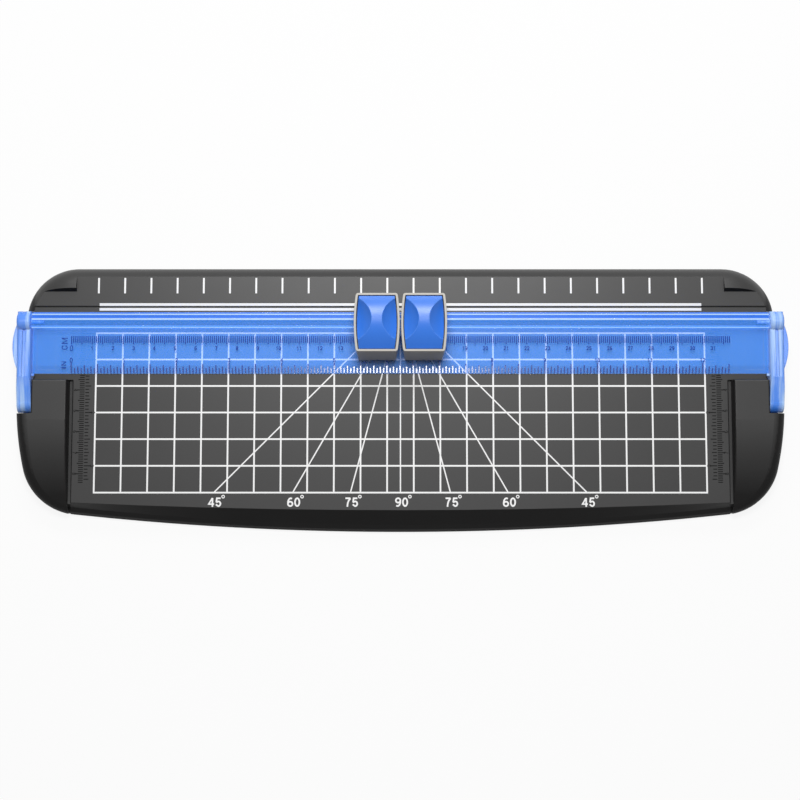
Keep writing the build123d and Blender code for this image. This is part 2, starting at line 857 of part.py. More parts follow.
def blade_holder(x):
    """Holder under the button: neck through the floor, wider foot below it, seat for the blade."""
    middle_y = (holder_front + holder_back) / 2
    depth = holder_back - holder_front
    with BuildPart() as holder:
        with BuildSketch(level(x, holder_low)):
            with Locations((0, middle_y)):
                Rectangle(2 * holder_half, depth)
        extrude(amount=holder_stop - holder_low)
        with BuildSketch(level(x, holder_stop)):
            with Locations((0, middle_y)):
                Rectangle(2 * neck_half, depth)
        extrude(amount=button_low - holder_stop)
        with BuildSketch(level(x, button_low)):
            with Locations((-post_spread / 2, cut_y), (post_spread / 2, cut_y)):
                Circle(post_r)
        extrude(amount=post_length)
        seat = slab(
            x, blade_half + blade_seat_gap, blade_seat_y, holder_back, holder_low, blade_top + blade_seat_gap
        )
        add(seat, mode=Mode.SUBTRACT)
        with BuildSketch(Plane.XZ.offset(-blade_seat_y)):
            with Locations((x, blade_screw_z)):
                Circle(blade_screw_r)
        extrude(amount=blade_screw_depth, mode=Mode.SUBTRACT)
    return holder.part


def blade(x):
    """Thin blade with a point that cuts both ways along the groove."""
    with BuildPart() as plate:
        with BuildSketch(Plane.XZ.offset(-blade_seat_y)):
            with BuildLine():
                Polyline(
                    (x, blade_tip),
                    (x + blade_half, blade_shoulder),
                    (x + blade_half, blade_top),
                    (x - blade_half, blade_top),
                    (x - blade_half, blade_shoulder),
                    close=True,
                )
            make_face()
            with Locations((x, blade_screw_z)):
                Circle(blade_screw_r, mode=Mode.SUBTRACT)
        extrude(amount=-blade_thickness)
    return plate.part


def blade_screw(x):
    """Screw that clamps the blade to its holder."""
    with BuildPart() as screw:
        with BuildSketch(Plane.XZ.offset(-blade_back_y)):
            with Locations((x, blade_screw_z)):
                Circle(blade_screw_r)
        extrude(amount=blade_thickness + blade_screw_depth)
        with BuildSketch(Plane.XZ.offset(-blade_back_y)):
            with Locations((x, blade_screw_z)):
                Circle(blade_head_r)
        extrude(amount=-blade_head)
        with BuildSketch(Plane.XZ.offset(-blade_back_y - blade_head)):
            with Locations((x, blade_screw_z)):
                Rectangle(2 * blade_head_r, drive_width)
        extrude(amount=drive_depth, mode=Mode.SUBTRACT)
    return screw.part


def return_spring(x):
    """Compression coil between the housing's floor and the button's cup."""
    pitch = spring_height / spring_turns
    with BuildPart() as spring:
        with BuildLine(level(x, spring_low)):
            Helix(pitch, spring_height, spring_r, center=(0, spring_y, 0))
        with BuildSketch(Plane(origin=(x + spring_r, spring_y, spring_low), z_dir=(0, 1, 0))):
            Circle(wire_r)
        sweep(is_frenet=True)
    return spring.part


def spring_gap():
    """Least gap between neighbouring turns of the return spring, measured on points along it."""
    steps = 48
    points = []
    for index in range(spring_turns * steps + 1):
        turn = 2 * math.pi * index / steps
        rise = spring_height * index / (spring_turns * steps)
        points.append((spring_r * math.cos(turn), spring_r * math.sin(turn), rise))
    gaps = [
        math.dist(points[i], points[j])
        for i in range(len(points))
        for j in range(i + steps // 2, len(points))
    ]
    return min(gaps) - 2 * wire_r


print("return spring: least gap to itself", round(spring_gap(), 2), "mm")

for side, name in ((-1, "left"), (1, "right")):
    x = side * carriage_x
    pieces = {
        "rail_arm": rail_arm(side),
        "carriage_housing": carriage_housing(x),
        "glide_shoe": glide_shoe(x),
        "shoe_screws": shoe_screws(x),
        "press_button": press_button(x),
        "blade_holder": blade_holder(x),
        "blade": blade(x),
        "blade_screw": blade_screw(x),
        "return_spring": return_spring(x),
    }
    for piece, solid in pieces.items():
        solid.label = piece + "_" + name
        export_step(solid, "parts/" + solid.label + ".step")
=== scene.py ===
import math

import bmesh
import bpy
from mathutils import Euler, Matrix, Vector


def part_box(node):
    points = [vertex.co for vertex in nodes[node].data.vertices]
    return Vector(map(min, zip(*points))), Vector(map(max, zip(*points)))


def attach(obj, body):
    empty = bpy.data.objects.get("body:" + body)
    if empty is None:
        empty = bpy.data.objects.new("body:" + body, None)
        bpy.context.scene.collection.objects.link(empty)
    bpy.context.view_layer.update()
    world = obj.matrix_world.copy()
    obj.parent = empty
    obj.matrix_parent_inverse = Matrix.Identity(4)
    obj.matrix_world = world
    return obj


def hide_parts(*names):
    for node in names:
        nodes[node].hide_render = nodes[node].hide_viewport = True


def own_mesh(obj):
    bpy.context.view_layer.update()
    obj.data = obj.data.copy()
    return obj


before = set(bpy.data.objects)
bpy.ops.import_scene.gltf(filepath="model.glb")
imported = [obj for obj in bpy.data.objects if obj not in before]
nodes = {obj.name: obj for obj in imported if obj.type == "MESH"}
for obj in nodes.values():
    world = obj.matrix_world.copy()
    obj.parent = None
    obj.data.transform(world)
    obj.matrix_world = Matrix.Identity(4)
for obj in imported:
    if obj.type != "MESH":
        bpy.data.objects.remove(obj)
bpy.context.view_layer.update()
scene = bpy.context.scene
MM = 0.001

# Places on the solids, in millimetres
bed_z = 12.0
strip_low, strip_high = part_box("cutting_strip")
cut_y = (strip_low.y + strip_high.y) / 2 / MM
rail_low, rail_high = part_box("ruler_rail")
ruler_front_y = rail_low.y / MM
track_top = rail_high.z / MM
rail_end_gap = 0.5
rail_reach = rail_high.x / MM - rail_end_gap
plate_z = 12.6
plate_top = 15.0
bevel_edge = 1.0
bevel_width = 3.7
groove_width = 1.0
groove_depth = 1.4

# Ink: its height over the surface, and how much each stroke of a letter lies over the one before
ink = 0.03
ink_step = 0.006
over_grid = 0.01

# Half-inch grid, its angle lines and their labels
inch = 25.4
grid_pitch = inch / 2
grid_columns = 24
grid_rows = 7
line_width = 0.78
grid_half = (grid_columns - 1) / 2 * grid_pitch
grid_front_y = cut_y - grid_rows * grid_pitch
angles = (45, 60, 75, 90, 105, 120, 135)
angle_line_width = 0.60
angle_line_start = 2.4
label_height = 4.4
label_shift = 0.55
label_y = grid_front_y - 4.5
degree_height = 3.7
degree_shift = 4.5
degree_rise = 2.6

# Ticks behind the cut line
tick_width = 0.86
tick_spread = 0.996
tick_front_y = 50.7
tick_back_y = 58.2

# Moulded scales at both sides of the bed
bed_scale_x = 151.4
bed_scale_reach = 84
bed_scale_gap = 0.4
bed_tick_width = 0.42
bed_mm_first = 3
bed_mm_lengths = ((10, 3.6), (5, 3.0), (1, 2.3))
bed_inch_first = 2
bed_inch_lengths = ((16, 3.4), (8, 2.8), (4, 2.3), (1, 1.8))
bed_digit_height = 1.9
bed_cm_digit_out = 4.2
bed_inch_digit_in = 4.3

# Printed scales on the ruler
zero_x = -157.5
scale_spread = 0.991
cm_count = 31
last_mm = 318
mm_back_y = 29.8
mm_lengths = ((5, 4.0), (1, 3.3))
mm_tick_width = 0.44
inch_count = 12
last_sixteenth = 200
inch_lengths = ((16, 5.2), (8, 4.6), (4, 4.0), (2, 3.3), (1, 2.6))
inch_tick_width = 0.55
inch_tick_inset = 0.35
cm_digit_y = 23.9
inch_digit_y = 18.2
digit_height = 1.9
cm_zero_height = 3.0
inch_zero_height = 2.5
digit_stroke = 0.36


# Finishes
def add_node(nt, kind, **values):
    """A new node of a kind, with its values set."""
    node = nt.nodes.new(kind)
    for name, value in values.items():
        setattr(node, name, value)
    return node


def noise(nt, place, scale, detail, roughness=0.5):
    """Noise of a scale, from nought to one."""
    node = add_node(nt, "ShaderNodeTexNoise")
    node.inputs["Scale"].default_value = scale
    node.inputs["Detail"].default_value = detail
    node.inputs["Roughness"].default_value = roughness
    nt.links.new(place, node.inputs["Vector"])
    return node.outputs["Fac"]


def ranged(nt, value, low, high, start=0.0, end=1.0, curve="LINEAR"):
    """A value that goes from low to high while the given one goes from start to end."""
    node = add_node(nt, "ShaderNodeMapRange", interpolation_type=curve)
    node.inputs["From Min"].default_value = start
    node.inputs["From Max"].default_value = end
    node.inputs["To Min"].default_value = low
    node.inputs["To Max"].default_value = high
    nt.links.new(value, node.inputs["Value"])
    return node.outputs["Result"]


def mixed(nt, share, one, two, blend="MIX"):
    """Two colours mixed by a share. Each of the three is a value or comes from a node."""
    node = add_node(nt, "ShaderNodeMix", data_type="RGBA", blend_type=blend)
    for name, given in (("Factor", share), ("A", one), ("B", two)):
        if isinstance(given, bpy.types.NodeSocket):
            nt.links.new(given, node.inputs[name])
        else:
            node.inputs[name].default_value = given
    return node.outputs["Result"]


def solid(colour, factor=1.0):
    """A colour with its alpha, made paler or darker by a factor."""
    return [min(1.0, c * factor) for c in colour] + [1]


def lean_sheen(nt, normal, least, most):
    """Specular level: most on faces that lie level or lean to the back, least on walls and front slopes."""
    back_share = 0.30
    back_lift = 0.6
    upright = add_node(nt, "ShaderNodeVectorMath", operation="DOT_PRODUCT")
    upright.inputs[1].default_value = (0.0, back_share, 1.0)
    nt.links.new(normal, upright.inputs[0])
    parts = add_node(nt, "ShaderNodeSeparateXYZ")
    nt.links.new(normal, parts.inputs["Vector"])
    backward = add_node(nt, "ShaderNodeMath", operation="MAXIMUM")
    backward.inputs[1].default_value = 0.0
    nt.links.new(parts.outputs["Y"], backward.inputs[0])
    leaning = add_node(nt, "ShaderNodeMath", operation="MULTIPLY_ADD")
    leaning.inputs[1].default_value = back_lift
    nt.links.new(backward.outputs["Value"], leaning.inputs[0])
    nt.links.new(upright.outputs["Value"], leaning.inputs[2])
    return ranged(nt, leaning.outputs["Value"], least, most, start=0.88, end=0.9995)


def moulded(name, colour, rough, grain=2400.0, bump=0.12, vary=0.10, edge=0.35, specular=0.5, coat=0.0,
            alpha=1.0, metal=0.0, stretch=None, rough_vary=0.10, bevel=0.25, side_specular=None,
            edge_colour=None, painted_streak=None):
    """Procedural finish: cloudy colour, fine moulded grain, uneven gloss, paler edges that are rubbed wear
    and painted highlight, and painted streaks of light where asked.
    """
    mat = bpy.data.materials.new(name)
    mat.use_nodes = True
    nt = mat.node_tree
    links = nt.links
    shader = nt.nodes["Principled BSDF"]
    shader.inputs["Metallic"].default_value = metal
    shader.inputs["Specular IOR Level"].default_value = specular
    shader.inputs["Coat Weight"].default_value = coat
    shader.inputs["Coat Roughness"].default_value = 0.12
    shader.inputs["Alpha"].default_value = alpha
    place = add_node(nt, "ShaderNodeTexCoord").outputs["Object"]
    if stretch:
        mapping = add_node(nt, "ShaderNodeMapping")
        mapping.inputs["Scale"].default_value = stretch
        links.new(place, mapping.inputs["Vector"])
        place = mapping.outputs["Vector"]
    clouds = noise(nt, place, 45.0, 5.0, 0.6)
    grains = noise(nt, place, grain, 2.0)
    # Colour: two tones through the clouds, a fine speckle, and painted streaks of light in clear plastic
    tones = mixed(nt, clouds, solid(colour, 1 - vary), solid(colour, 1 + vary))
    tones = mixed(nt, 1.0, tones, ranged(nt, grains, 1 - vary, 1 + vary), "MULTIPLY")
    if painted_streak:
        lit = ranged(nt, clouds, 0.0, 1.0, start=0.47, end=0.68, curve="SMOOTHSTEP")
        tones = mixed(nt, lit, tones, solid(painted_streak))
    # Edges are paler: rubbed wear, and a painted highlight along them
    rounded = add_node(nt, "ShaderNodeBevel", samples=4)
    rounded.inputs["Radius"].default_value = bevel * MM
    normal = add_node(nt, "ShaderNodeNewGeometry").outputs["Normal"]
    turned = add_node(nt, "ShaderNodeVectorMath", operation="DOT_PRODUCT")
    links.new(rounded.outputs["Normal"], turned.inputs[0])
    links.new(normal, turned.inputs[1])
    edge_wear_and_highlight_share = ranged(nt, turned.outputs["Value"], 0.0, edge, start=0.98, end=0.80)
    edge_wear_and_highlight_colour = edge_colour or [c * 1.35 + 0.02 for c in colour]
    links.new(mixed(nt, edge_wear_and_highlight_share, tones, solid(edge_wear_and_highlight_colour)), shader.inputs["Base Color"])
    # Gloss: uneven, duller in the grain, and lower on walls where a level for them is given
    gloss = ranged(nt, clouds, max(0.02, rough - rough_vary), min(1.0, rough + rough_vary))
    links.new(gloss, shader.inputs["Roughness"])
    if side_specular is not None:
        links.new(lean_sheen(nt, normal, side_specular, specular), shader.inputs["Specular IOR Level"])
    relief = add_node(nt, "ShaderNodeBump")
    relief.inputs["Strength"].default_value = bump
    relief.inputs["Distance"].default_value = 0.05 * MM
    links.new(grains, relief.inputs["Height"])
    links.new(rounded.outputs["Normal"], relief.inputs["Normal"])
    links.new(relief.outputs["Normal"], shader.inputs["Normal"])
    return mat


tray_plastic = moulded("tray_plastic", (0.0150, 0.0147, 0.0147), 0.42, grain=1900.0, bump=0.20, vary=0.14,
                       specular=0.41, side_specular=0.06, rough_vary=0.03)
strip_plastic = moulded("strip_plastic", (0.80, 0.80, 0.79), 0.45, vary=0.03, edge=0.10)
foot_rubber = moulded("foot_rubber", (0.018, 0.018, 0.018), 0.85, grain=1400.0, bump=0.35, specular=0.25)
# Clear ruler: its pale edges are a painted highlight
clear_blue = moulded("clear_blue", (0.062, 0.310, 1.000), 0.12, grain=500.0, bump=0.02, vary=0.03, edge=0.80,
                     alpha=0.30, rough_vary=0.04, bevel=0.35, edge_colour=(0.72, 0.84, 1.0))
# Clear arms: their pale edges and pale streaks are painted highlights
thick_blue = moulded("thick_blue", (0.060, 0.265, 0.930), 0.26, grain=500.0, bump=0.02, vary=0.06, edge=0.50,
                     alpha=0.80, rough_vary=0.04, bevel=0.6, edge_colour=(0.45, 0.68, 1.0),
                     stretch=(7.0, 0.30, 1.0), painted_streak=(0.40, 0.62, 1.0))
grey_plastic = moulded("grey_plastic", (0.47, 0.445, 0.40), 0.42, vary=0.05, edge=0.30, bevel=0.35)
black_plastic = moulded("black_plastic", (0.020, 0.020, 0.021), 0.5, bump=0.2)
# Buttons: their paler edges are a painted highlight on the scoop rims
blue_plastic = moulded("blue_plastic", (0.037, 0.178, 0.690), 0.30, grain=2000.0, bump=0.10, vary=0.05,
                       edge=0.60, specular=0.30, bevel=0.5, edge_colour=(0.20, 0.42, 0.98))
steel = moulded("steel", (0.60, 0.60, 0.59), 0.28, grain=900.0, bump=0.08, vary=0.08, metal=1.0,
                stretch=(1.0, 8.0, 8.0), bevel=0.1)
white_ink = moulded("white_ink", (0.93, 0.93, 0.93), 0.55, grain=3000.0, bump=0.05, vary=0.05, edge=0.0,
                    bevel=0.01)
blue_ink = moulded("blue_ink", (0.006, 0.035, 0.290), 0.50, grain=3000.0, bump=0.05, vary=0.08, edge=0.0,
                   specular=0.2, bevel=0.01)
glossy_ink = moulded("glossy_ink", (0.006, 0.035, 0.290), 0.14, grain=3000.0, bump=0.02, vary=0.08, edge=0.0,
                     coat=0.6, bevel=0.01)
# Moulded scale marks: their dark colour is painted shade of the relief
scale_relief_painted_shade = moulded("scale_relief_painted_shade", (0.007, 0.007, 0.007), 0.5, grain=3000.0, bump=0.1, vary=0.1, edge=0.2,
                       specular=0.06, bevel=0.02)
# Pale blue for the painted highlights along the track's edges
painted_highlight_blue = moulded("painted_highlight_blue", (0.50, 0.70, 1.0), 0.15, grain=500.0, bump=0.02, vary=0.05, edge=0.0,
                    bevel=0.02)
# Deep blue for the painted shade in the track's groove and beside its back edge
painted_shade_blue = moulded("painted_shade_blue", (0.035, 0.190, 0.80), 0.35, grain=500.0, bump=0.02, vary=0.05, edge=0.0,
                    specular=0.2, bevel=0.02)
# Dark grey for the painted shade in the groove of the cutting strip
groove_shade = moulded("groove_shade", (0.06, 0.06, 0.06), 0.7, grain=1500.0, bump=0.3, vary=0.3, edge=0.0,
                       bevel=0.02)

finishes = {
    "base_tray": tray_plastic,
    "cutting_strip": strip_plastic,
    "rubber_feet": foot_rubber,
    "hinge_pins": steel,
    "ruler_rail": clear_blue,
    "rail_arm": thick_blue,
    "carriage_housing": grey_plastic,
    "glide_shoe": black_plastic,
    "shoe_screws": steel,
    "press_button": blue_plastic,
    "blade_holder": black_plastic,
    "blade": steel,
    "blade_screw": steel,
    "return_spring": steel,
}
for name, node in nodes.items():
    kind = name.removesuffix("_left").removesuffix("_right")
    node.data.materials.clear()
    node.data.materials.append(finishes[kind])
nodes["ruler_rail"].visible_shadow = False

# Return springs as copies of the imported springs that ride on their carriages; the imported springs are
# hidden
for side in ("left", "right"):
    name = "return_spring_" + side
    coil = bpy.data.objects.new("spring_coil_" + side, nodes[name].data.copy())
    scene.collection.objects.link(coil)
    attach(coil, "carriage_" + side)
    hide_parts(name)
    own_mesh(coil)


# Printed and moulded marks: thin bars and letters laid on the surfaces
def bar(bm, start, end, width, low, high):
    """A thin straight bar from start to end, with its own lower and upper heights at each end."""
    along = Vector((end[0] - start[0], end[1] - start[1])).normalized()
    across = Vector((-along.y, along.x)) * width / 2
    corners = []
    for x, y, sign in ((*start, 1), (*start, -1), (*end, -1), (*end, 1)):
        corners.append((x + sign * across.x, y + sign * across.y))
    lows = [low(y) if callable(low) else low for _, y in corners]
    highs = [high(y) if callable(high) else high for _, y in corners]
    below = [bm.verts.new((x * MM, y * MM, z * MM)) for (x, y), z in zip(corners, lows)]
    above = [bm.verts.new((x * MM, y * MM, z * MM)) for (x, y), z in zip(corners, highs)]
    bm.faces.new(above)
    bm.faces.new(below[::-1])
    for i in range(4):
        j = (i + 1) % 4
        bm.faces.new((below[i], below[j], above[j], above[i]))


def curved(points, steps=6):
    """A smooth line through points."""
    def between(p, q, r, o, t):
        bend = (2 * p - 5 * q + 4 * r - o) * t**2 + (3 * q - p - 3 * r + o) * t**3
        return 0.5 * (2 * q + (r - p) * t + bend)

    line = []
    ends = [points[0]] + points + [points[-1]]
    for a, b, c, d in zip(ends, ends[1:], ends[2:], ends[3:]):
        for i in range(steps):
            line.append(tuple(between(*four, i / steps) for four in zip(a, b, c, d)))
    return line + [points[-1]]


def ring(x, y, across, up, steps=28):
    """A closed oval line."""
    turns = [2 * math.pi * i / steps for i in range(steps + 1)]
    return [(x + across * math.sin(t), y + up * math.cos(t)) for t in turns]


# Digits and letters as lines in a box one unit high
six = [
    ring(0.32, 0.315, 0.225, 0.235),
    curved([(0.50, 0.865), (0.38, 0.915), (0.24, 0.86), (0.14, 0.70), (0.10, 0.50), (0.095, 0.315)]),
]
glyphs = {
    "0": [ring(0.32, 0.5, 0.22, 0.415)],
    "1": [[(0.12, 0.70), (0.27, 0.79), (0.36, 0.92), (0.36, 0.0)]],
    "2": [
        curved([(0.10, 0.70), (0.17, 0.86), (0.32, 0.915), (0.48, 0.85), (0.53, 0.69), (0.43, 0.48),
                (0.11, 0.09)]),
        [(0.06, 0.085), (0.58, 0.085)],
    ],
    "3": [
        curved([(0.11, 0.74), (0.18, 0.87), (0.31, 0.915), (0.46, 0.86), (0.51, 0.71), (0.44, 0.57),
                (0.28, 0.52)]),
        curved([(0.28, 0.52), (0.47, 0.47), (0.54, 0.29), (0.47, 0.14), (0.31, 0.085), (0.16, 0.14),
                (0.09, 0.27)]),
    ],
    "4": [[(0.44, 0.0), (0.44, 0.95)], [(0.43, 0.93), (0.07, 0.29), (0.61, 0.29)]],
    "5": [
        [(0.55, 0.915), (0.18, 0.915), (0.12, 0.47)],
        curved([(0.12, 0.47), (0.33, 0.58), (0.48, 0.50), (0.54, 0.32), (0.47, 0.14), (0.31, 0.085),
                (0.09, 0.26)]),
    ],
    "6": six,
    "7": [[(0.06, 0.915), (0.56, 0.915)], curved([(0.56, 0.915), (0.39, 0.66), (0.29, 0.36), (0.25, 0.0)])],
    "8": [ring(0.32, 0.715, 0.19, 0.20), ring(0.32, 0.29, 0.22, 0.21)],
    "9": [[(0.64 - x, 1 - y) for x, y in line] for line in six],
    "C": [
        curved([(0.60, 0.70), (0.34, 0.93), (0.14, 0.80), (0.07, 0.50), (0.14, 0.20), (0.34, 0.07),
                (0.61, 0.31)]),
    ],
    "M": [[(0.06, 0.0), (0.06, 1.0)], [(0.80, 0.0), (0.80, 1.0)], [(0.08, 0.94), (0.43, 0.12), (0.78, 0.94)]],
    "I": [[(0.12, 0.0), (0.12, 1.0)]],
    "N": [[(0.06, 0.0), (0.06, 1.0)], [(0.64, 0.0), (0.64, 1.0)], [(0.08, 0.94), (0.62, 0.06)]],
    "°": [ring(0.18, 0.5, 0.17, 0.17, 20)],
}
digit_width = 0.64
widths = {"C": 0.68, "M": 0.86, "I": 0.24, "N": 0.70, "°": 0.36}


def ribbon(bm, line, width, low, high):
    """A flat band of even width along a line, closed where the line ends at its start."""
    points = [Vector(p) for p in line]
    closed = (points[0] - points[-1]).length < 1e-6
    if closed:
        points.pop()
    count = len(points)
    rows = []
    for i, here in enumerate(points):
        turns = []
        if closed or i:
            turns.append((here - points[i - 1]).normalized())
        if closed or i + 1 < count:
            turns.append((points[(i + 1) % count] - here).normalized())
        along = sum(turns, Vector((0.0, 0.0))).normalized()
        normal = Vector((-along.y, along.x))
        stretch = min(1 / max(0.2, along.dot(turns[0])), 1.6)
        a = here + normal * width / 2 * stretch
        b = here - normal * width / 2 * stretch
        corners = ((a, low), (b, low), (b, high), (a, high))
        rows.append([bm.verts.new((p.x * MM, p.y * MM, z * MM)) for p, z in corners])
    spans = zip(rows, rows[1:] + rows[:1]) if closed else zip(rows, rows[1:])
    for one, two in spans:
        for i in range(4):
            j = (i + 1) % 4
            bm.faces.new((one[i], one[j], two[j], two[i]))
    if not closed:
        bm.faces.new(rows[0][::-1])
        bm.faces.new(rows[-1])


def words(bm, text, height, x, y, z, turn=0.0, weight=0.13, gap=0.06, wide=1.0):
    """Digits or letters of a height, as flat bands centred on a point of a level surface."""
    total = sum(widths.get(c, digit_width) for c in text) + gap * (len(text) - 1)
    pen = -total / 2
    spin = Matrix.Rotation(turn, 2)
    for letter in text:
        for layer, line in enumerate(glyphs[letter]):
            shaped = [Vector(((px + pen) * height * wide, (py - 0.5) * height)) for px, py in line]
            laid = [spin @ point + Vector((x, y)) for point in shaped]
            ribbon(bm, laid, weight * height, z, z + ink + layer * ink_step)
        pen += widths.get(letter, digit_width) + gap


def piece(name, bm, material, body):
    """The marks made so far as one piece that moves with a body."""
    bmesh.ops.recalc_face_normals(bm, faces=bm.faces)
    mesh = bpy.data.meshes.new(name)
    bm.to_mesh(mesh)
    bm.free()
    mesh.materials.append(material)
    made = bpy.data.objects.new(name, mesh)
    scene.collection.objects.link(made)
    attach(made, body)
    return made


def tick_length(k, lengths):
    """The length that belongs to the first step that divides k."""
    return next(length for step, length in lengths if k % step == 0)


columns = [(i - (grid_columns - 1) / 2) * grid_pitch for i in range(grid_columns)]
rows = [cut_y - k * grid_pitch for k in range(1, grid_rows + 1)]

# Half-inch grid on the bed
bm = bmesh.new()
for y in rows:
    reach = grid_half + line_width / 2
    bar(bm, (-reach, y), (reach, y), line_width, bed_z, bed_z + ink)
for x in columns:
    for back, front in zip(rows, rows[1:]):
        bar(bm, (x, back - line_width / 2), (x, front + line_width / 2), line_width, bed_z, bed_z + ink)
piece("bed_grid", bm, white_ink, "tray")

# Lines at set angles from the middle of the cut line, and their labels
leans = {degrees: 1 / math.tan(math.radians(degrees)) if degrees != 90 else 0.0 for degrees in angles}
bm = bmesh.new()
for lean in leans.values():
    start = (angle_line_start * -lean, cut_y - angle_line_start)
    end = ((cut_y - grid_front_y) * -lean, grid_front_y)
    bar(bm, start, end, angle_line_width, bed_z, bed_z + ink + over_grid)
piece("angle_lines", bm, white_ink, "tray")
bm = bmesh.new()
for degrees, lean in leans.items():
    shown = str(min(degrees, 180 - degrees))
    x = (cut_y - grid_front_y) * -lean
    words(bm, shown, label_height, x + label_shift, label_y, bed_z, weight=0.175, wide=1.08)
    words(bm, "°", degree_height, x + degree_shift, label_y + degree_rise, bed_z, weight=0.12)
piece("angle_labels", bm, white_ink, "tray")

# Ticks behind the cut line
bm = bmesh.new()
for x in columns:
    tick_x = x * tick_spread
    bar(bm, (tick_x, tick_front_y), (tick_x, tick_back_y), tick_width, bed_z, bed_z + ink)
piece("back_ticks", bm, white_ink, "tray")

# Moulded scales on both sides of the bed, counted from the cut line, coloured darker than the bed as painted
# shade of their relief
for side, name in ((-1, "left"), (1, "right")):
    quarter_turn = side * math.pi / 2
    outer_x = bed_scale_x
    inner_x = bed_scale_x - bed_scale_gap
    bm = bmesh.new()
    for k in range(bed_mm_first, bed_scale_reach + 1):
        length = tick_length(k, bed_mm_lengths)
        y = cut_y - k
        bar(bm, (side * outer_x, y), (side * (outer_x + length), y), bed_tick_width, bed_z, bed_z + ink)
    for k in range(bed_inch_first, int(bed_scale_reach / inch * 16) + 1):
        length = tick_length(k, bed_inch_lengths)
        y = cut_y - k * inch / 16
        bar(bm, (side * inner_x, y), (side * (inner_x - length), y), bed_tick_width, bed_z, bed_z + ink)
    for k in range(1, bed_scale_reach // 10 + 1):
        x = side * (bed_scale_x + bed_cm_digit_out)
        words(bm, str(k), bed_digit_height, x, cut_y - 10 * k, bed_z, turn=quarter_turn)
    for k in range(1, int(bed_scale_reach / inch) + 1):
        x = side * (bed_scale_x - bed_inch_digit_in)
        words(bm, str(k), bed_digit_height, x, cut_y - inch * k, bed_z, turn=quarter_turn)
    piece("bed_scale_" + name, bm, scale_relief_painted_shade, "tray")

# Painted shade along the bottom of the blade's groove: a dark strip laid there
groove_half = strip_high.x / MM
floor_z = bed_z - groove_depth
shade_width = groove_width - 0.02
shade_low = floor_z + 0.01
shade_high = floor_z + 0.06
bm = bmesh.new()
bar(bm, (-groove_half, cut_y), (groove_half, cut_y), shade_width, shade_low, shade_high)
piece("groove_painted_shade", bm, groove_shade, "tray")


# Scales on the ruler: millimetres along the track, sixteenths of an inch along the bevel
def ruler_top(y):
    """Height of the ruler's upper face at y."""
    rise = (y - ruler_front_y) / bevel_width
    return min(plate_top, plate_z + bevel_edge + rise * (plate_top - plate_z - bevel_edge))


def ruler_ink(y):
    """Height of ink on the ruler's upper face at y."""
    return ruler_top(y) + ink


bm = bmesh.new()
for k in range(last_mm + 1):
    length = tick_length(k, mm_lengths)
    x = zero_x + k * scale_spread
    bar(bm, (x, mm_back_y), (x, mm_back_y - length), mm_tick_width, plate_top, plate_top + ink)
piece("centimetre_ticks", bm, blue_ink, "rail")
bm = bmesh.new()
for k in range(last_sixteenth + 1):
    reach = tick_length(k, inch_lengths)
    x = zero_x + k * inch / 16 * scale_spread
    front = ruler_front_y + inch_tick_inset
    back = ruler_front_y + min(reach, bevel_width)
    bar(bm, (x, front), (x, back), inch_tick_width, ruler_top, ruler_ink)
    if reach > bevel_width:
        bar(bm, (x, back), (x, ruler_front_y + reach), inch_tick_width, plate_top, plate_top + ink)
inch_ticks = piece("inch_ticks", bm, glossy_ink, "rail")
bm = bmesh.new()
for count, step, y, zero_height in (
    (cm_count, 10, cm_digit_y, cm_zero_height),
    (inch_count, inch, inch_digit_y, inch_zero_height),
):
    for k in range(count + 1):
        height = digit_height if k else zero_height
        x = zero_x + step * k * scale_spread
        words(bm, str(k), height, x, y, plate_top, weight=digit_stroke / height)
for unit, height, before, y, weight, gap in (
    ("CM", 2.95, 3.3, 26.0, 0.13, 0.2),
    ("IN", 2.4, 3.5, 15.9, 0.15, 0.25),
):
    words(bm, unit, height, zero_x - before, y, plate_top, turn=math.pi / 2, weight=weight, gap=gap,
          wide=1.13)
piece("ruler_digits", bm, blue_ink, "rail")


# Painted highlights along the edges of the clear track, and painted shade in its groove and beside its back
# edge
def track_strips(name, strips, material):
    """Thin strips along the track, each from a back edge to a front edge under a top."""
    bm = bmesh.new()
    for back, front, top in strips:
        middle = (back + front) / 2
        bar(bm, (-rail_reach, middle), (rail_reach, middle), back - front, top - ink, top)
    piece(name, bm, material, "rail")


ledge_top = track_top - 0.4
track_groove_z = track_top - 1.0
painted_highlight_strips = ((40.1, 39.55, ledge_top), (37.9, 37.1, track_top), (33.7, 33.4, track_top))
painted_shade_strips = ((41.1, 40.5, plate_top + ink), (39.3, 38.2, track_groove_z + ink))
track_strips("track_painted_highlights", painted_highlight_strips, painted_highlight_blue)
track_strips("track_painted_shade", painted_shade_strips, painted_shade_blue)


# Stage: pale floor, soft overhead light from the back, white backdrop
def seen(nt):
    """One for rays that the eye, gloss or glass sends, nought for light."""
    path = add_node(nt, "ShaderNodeLightPath")
    total = path.outputs["Is Camera Ray"]
    for name in ("Is Glossy Ray", "Is Transmission Ray"):
        joined = add_node(nt, "ShaderNodeMath", operation="MAXIMUM")
        nt.links.new(total, joined.inputs[0])
        nt.links.new(path.outputs[name], joined.inputs[1])
        total = joined.outputs["Value"]
    return total


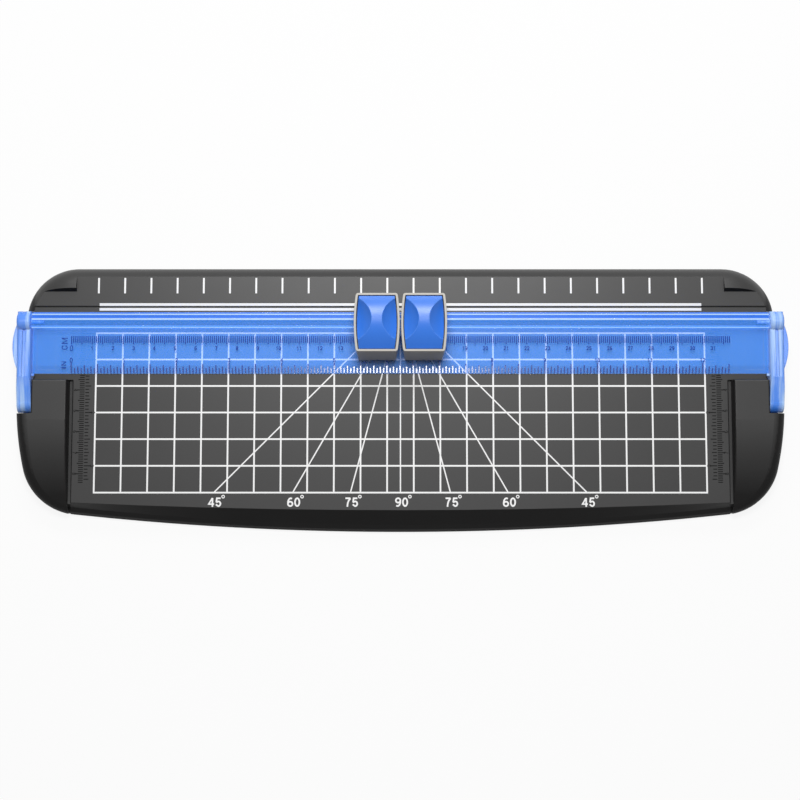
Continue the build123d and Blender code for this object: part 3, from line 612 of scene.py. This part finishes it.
floor_size = 3.0
floor_corners = [(x * floor_size, y * floor_size, 0) for x, y in ((-1, -1), (1, -1), (1, 1), (-1, 1))]
floor_mesh = bpy.data.meshes.new("floor")
floor_mesh.from_pydata(floor_corners, [], [(0, 1, 2, 3)])
floor = bpy.data.objects.new("floor", floor_mesh)
scene.collection.objects.link(floor)
floor_paint = bpy.data.materials.new("floor_paint")
floor_paint.use_nodes = True
nt = floor_paint.node_tree
paint = nt.nodes["Principled BSDF"]
paint.inputs["Base Color"].default_value = (0.86, 0.86, 0.86, 1)
paint.inputs["Roughness"].default_value = 0.9
paint.inputs["Specular IOR Level"].default_value = 0.0
glow = add_node(nt, "ShaderNodeEmission")
blend = add_node(nt, "ShaderNodeMixShader")
nt.links.new(ranged(nt, seen(nt), 0.0, 0.90), blend.inputs["Fac"])
nt.links.new(paint.outputs["BSDF"], blend.inputs[1])
nt.links.new(glow.outputs["Emission"], blend.inputs[2])
nt.links.new(blend.outputs["Shader"], nt.nodes["Material Output"].inputs["Surface"])
floor_mesh.materials.append(floor_paint)

world_light = 0.11
world_seen = 1.0
world = bpy.data.worlds.new("studio")
scene.world = world
world.use_nodes = True
nt = world.node_tree
sky = nt.nodes["Background"]
sky.inputs["Color"].default_value = (1, 1, 1, 1)
nt.links.new(ranged(nt, seen(nt), world_light, world_seen), sky.inputs["Strength"])


def softbox(name, place, aim, width, depth, power, pieces=()):
    """A soft lamp at a place, turned to a point. Where pieces are given, its light is kept to them."""
    lamp = bpy.data.lights.new(name, "AREA")
    lamp.shape = "RECTANGLE"
    lamp.size = width
    lamp.size_y = depth
    lamp.energy = power
    made = bpy.data.objects.new(name, lamp)
    made.location = place
    made.rotation_euler = (Vector(aim) - Vector(place)).to_track_quat("-Z", "Y").to_euler()
    scene.collection.objects.link(made)
    if pieces:
        lit = bpy.data.collections.new(name + "_lit")
        for lit_piece in pieces:
            lit.objects.link(lit_piece)
        made.light_linking.receiver_collection = lit


bed_middle = (0.0, 0.02, 0.0)
softbox("key", (0.0, 0.32, 0.90), bed_middle, 0.30, 0.20, 6.3)
softbox("back", (0.0, 0.95, 0.80), bed_middle, 0.70, 0.30, 5.0)
softbox("front_glint", (0.0, -0.76, 1.00), (0.0, 0.0, 0.0), 0.16, 0.12, 1.6, [inch_ticks])
softbox("ruler_fill", (0.0, 0.60, 0.90), bed_middle, 0.60, 0.20, 8.5, [nodes["ruler_rail"]])
softbox("rim", (0.0, 1.10, 0.45), (0.0, 0.06, 0.0), 0.90, 0.15, 3.0, [nodes["base_tray"]])
buttons = [nodes["press_button_left"], nodes["press_button_right"]]
softbox("button_glint", (0.0, 0.05, 0.90), (0.0, 0.04, 0.03), 0.06, 0.06, 1.0, buttons)
for side, name in ((-1, "left"), (1, "right")):
    arm = nodes["rail_arm_" + name]
    arm_middle = (side * 0.18, 0.02, 0.018)
    lamp_x = side * 0.384
    softbox("arm_top_" + name, (lamp_x, 0.09, 0.90), arm_middle, 0.04, 0.40, 1.0, [arm])
    softbox("arm_slope_" + name, (lamp_x, -0.40, 0.90), arm_middle, 0.04, 0.20, 0.2, [arm])

# Camera, as the photograph was taken: high above, leaning back a little
scene.view_settings.view_transform = "Standard"
camera_height = 800.0
camera_foot_y = -42.65
axis_y = 45.05
focal_px = 1670.0
principal_px = (400.45, 305.0)
image_px = 800.0
lens = bpy.data.cameras.new("camera")
lens.sensor_fit = "HORIZONTAL"
lens.sensor_width = 36.0
lens.lens = focal_px / image_px * lens.sensor_width
lens.shift_x = (image_px / 2 - principal_px[0]) / image_px
lens.shift_y = (principal_px[1] - image_px / 2) / image_px
lens.clip_start = 0.01
eye = Vector((0.0, camera_foot_y * MM, (bed_z + camera_height) * MM))
target = Vector((0.0, axis_y * MM, bed_z * MM))
camera = bpy.data.objects.new("camera", lens)
camera.location = eye
camera.rotation_euler = Euler((math.atan2(target.y - eye.y, eye.z - target.z), 0.0, 0.0))
scene.collection.objects.link(camera)
scene.camera = camera
